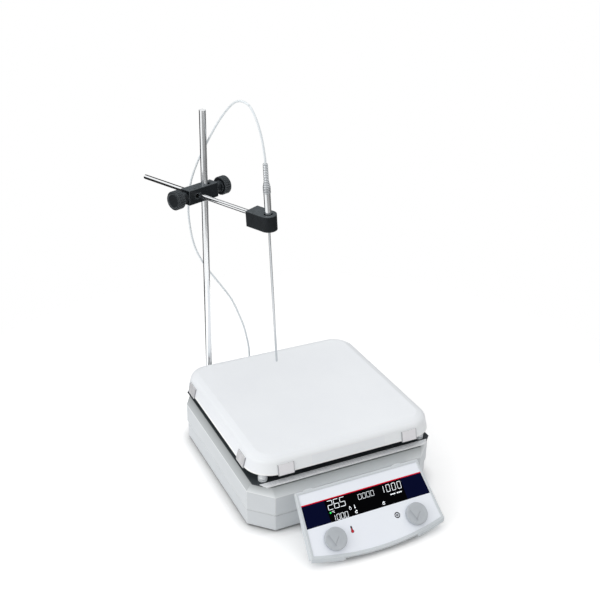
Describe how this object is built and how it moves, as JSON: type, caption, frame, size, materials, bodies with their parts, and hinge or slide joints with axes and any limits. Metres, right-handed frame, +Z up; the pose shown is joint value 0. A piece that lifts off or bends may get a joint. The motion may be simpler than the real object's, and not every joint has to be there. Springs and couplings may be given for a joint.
{
  "type": "hotplate stirrer",
  "caption": "Benchtop hotplate stirrer: square white plate on a grey body, sloping console with display and push-turn knobs, support rod, boss head and temperature probe on a cross rod.",
  "frame": {"origin": "on the bench, under the stirring axis, midway between the feet", "axes": "+X to the right seen from the front, front towards -Y, +Z up"},
  "size_m": [0.3019, 0.5079, 0.547],
  "materials": {
    "grey_body": "satin",
    "grey_console": "satin",
    "white_plate": "satin glaze",
    "steel": "satin",
    "bright_steel": "polished",
    "dark_metal": "matt black",
    "black_plastic": "satin",
    "rubber": "matt",
    "overlay": "satin film",
    "display": "gloss",
    "knob_grey": "satin",
    "board": "satin",
    "brass": "satin",
    "aluminium": "machined",
    "motor_black": "satin",
    "winding": "varnished",
    "heater": "matt",
    "insulation": "matt",
    "magnet": "plated",
    "cable": "translucent"
  },
  "bodies": {
    "base": {"base_tray": "grey_body", "rubber_feet": "rubber", "upper_body": "grey_body", "body_screws": "steel", "heat_shield": "dark_metal", "front_strip": "steel", "plate_pillars": "bright_steel", "top_plate": "white_plate", "plate_clips": "steel", "heating_element": "heater", "insulation_pad": "insulation", "plate_sensor": "brass", "motor_bracket": "aluminium", "motor_can": "motor_black", "motor_stator": "winding", "motor_bearings": "steel", "power_board": "board", "board_standoffs": "brass", "mains_inlet": "black_plastic", "inlet_pins": "steel", "switch_frame": "black_plastic", "probe_socket": "steel", "console_tray": "grey_body", "console_bezel": "grey_console", "console_overlay": "overlay", "display_window": "display", "display_module": "black_plastic", "control_board": "board", "encoders": "black_plastic", "console_screws": "steel", "probe_cable": "cable", "probe_plug": "black_plastic"},
    "rotor": {"motor_rotor": "steel", "motor_shaft": "steel", "magnet_holder": "black_plastic", "drive_magnets": "magnet"},
    "rocker": {"switch_rocker": "black_plastic"},
    "temp_push": {"temp_plunger": "knob_grey"},
    "temp_turn": {"temp_shaft": "steel", "temp_knob": "knob_grey"},
    "speed_push": {"speed_plunger": "knob_grey"},
    "speed_turn": {"speed_shaft": "steel", "speed_knob": "knob_grey"},
    "rod": {"support_rod": "bright_steel"},
    "head": {"boss_head": "black_plastic"},
    "rod_pad": {"rod_tip": "brass"},
    "rod_thumb": {"rod_screw": "steel", "rod_grip": "black_plastic"},
    "cross_pad": {"cross_tip": "brass"},
    "cross_thumb": {"cross_screw": "steel", "cross_grip": "black_plastic"},
    "arm": {"cross_rod": "bright_steel", "probe_holder": "black_plastic"},
    "probe": {"probe_handle": "bright_steel", "probe_stem": "steel", "probe_sleeve": "steel"}
  },
  "joints": [
    {"name": "stir_spin", "type": "hinge", "parent": "base", "child": "rotor", "pos_m": [0, 0, 0.04], "axis": [0, 0, 1], "continuous": true},
    {"name": "mains_rocker", "type": "hinge", "parent": "base", "child": "rocker", "pos_m": [0.056, 0.149, 0.0444], "axis": [1, 0, 0], "range_deg": [-14, 0]},
    {"name": "temp_press", "type": "slide", "parent": "base", "child": "temp_push", "axis": [0, 0.6361, -0.7716], "range_m": [0, 0.0005], "stiffness_N_per_m": 600, "springref_m": -0.0015},
    {"name": "temp_spin", "type": "hinge", "parent": "temp_push", "child": "temp_turn", "pos_m": [-0.063, -0.22584, 0.02751], "axis": [0, -0.6361, 0.7716], "continuous": true},
    {"name": "speed_press", "type": "slide", "parent": "base", "child": "speed_push", "axis": [0, 0.6361, -0.7716], "range_m": [0, 0.0005], "stiffness_N_per_m": 600, "springref_m": -0.0015},
    {"name": "speed_spin", "type": "hinge", "parent": "speed_push", "child": "speed_turn", "pos_m": [0.063, -0.22584, 0.02751], "axis": [0, -0.6361, 0.7716], "continuous": true},
    {"name": "rod_turn", "type": "hinge", "parent": "base", "child": "rod", "pos_m": [-0.0919, 0.162, 0.07], "axis": [0, 0, 1], "range_deg": [-50, 60], "deforming": ["probe_cable"]},
    {"name": "head_slide", "type": "slide", "parent": "rod", "child": "head", "axis": [0, 0, 1], "range_m": [-0.03, 0.1], "deforming": ["probe_cable"]},
    {"name": "rod_pad_move", "type": "slide", "parent": "head", "child": "rod_pad", "axis": [0.9205, 0.3907, 0], "range_m": [0, 0.003]},
    {"name": "rod_thumb_turn", "type": "hinge", "parent": "rod_pad", "child": "rod_thumb", "pos_m": [-0.0919, 0.162, 0.393], "axis": [0.9205, 0.3907, 0], "range_deg": [0, 1080]},
    {"name": "cross_pad_move", "type": "slide", "parent": "head", "child": "cross_pad", "axis": [-0.9205, -0.3907, 0], "range_m": [0, 0.003]},
    {"name": "cross_thumb_turn", "type": "hinge", "parent": "cross_pad", "child": "cross_thumb", "pos_m": [-0.0919, 0.162, 0.393], "axis": [-0.9205, -0.3907, 0], "range_deg": [0, 1080]},
    {"name": "arm_slide", "type": "slide", "parent": "head", "child": "arm", "axis": [0.3907, -0.9205, 0], "range_m": [-0.08, 0.08], "deforming": ["probe_cable"]},
    {"name": "probe_lift", "type": "slide", "parent": "arm", "child": "probe", "axis": [-0.077, -0.0327, 0.9965], "range_m": [0, 0.1], "deforming": ["probe_cable"]}
  ],
  "couplings": [
    {"joint": "rod_thumb_turn", "follows": "rod_pad_move", "rad_per_m": 6283.2},
    {"joint": "cross_thumb_turn", "follows": "cross_pad_move", "rad_per_m": 6283.2}
  ]
}
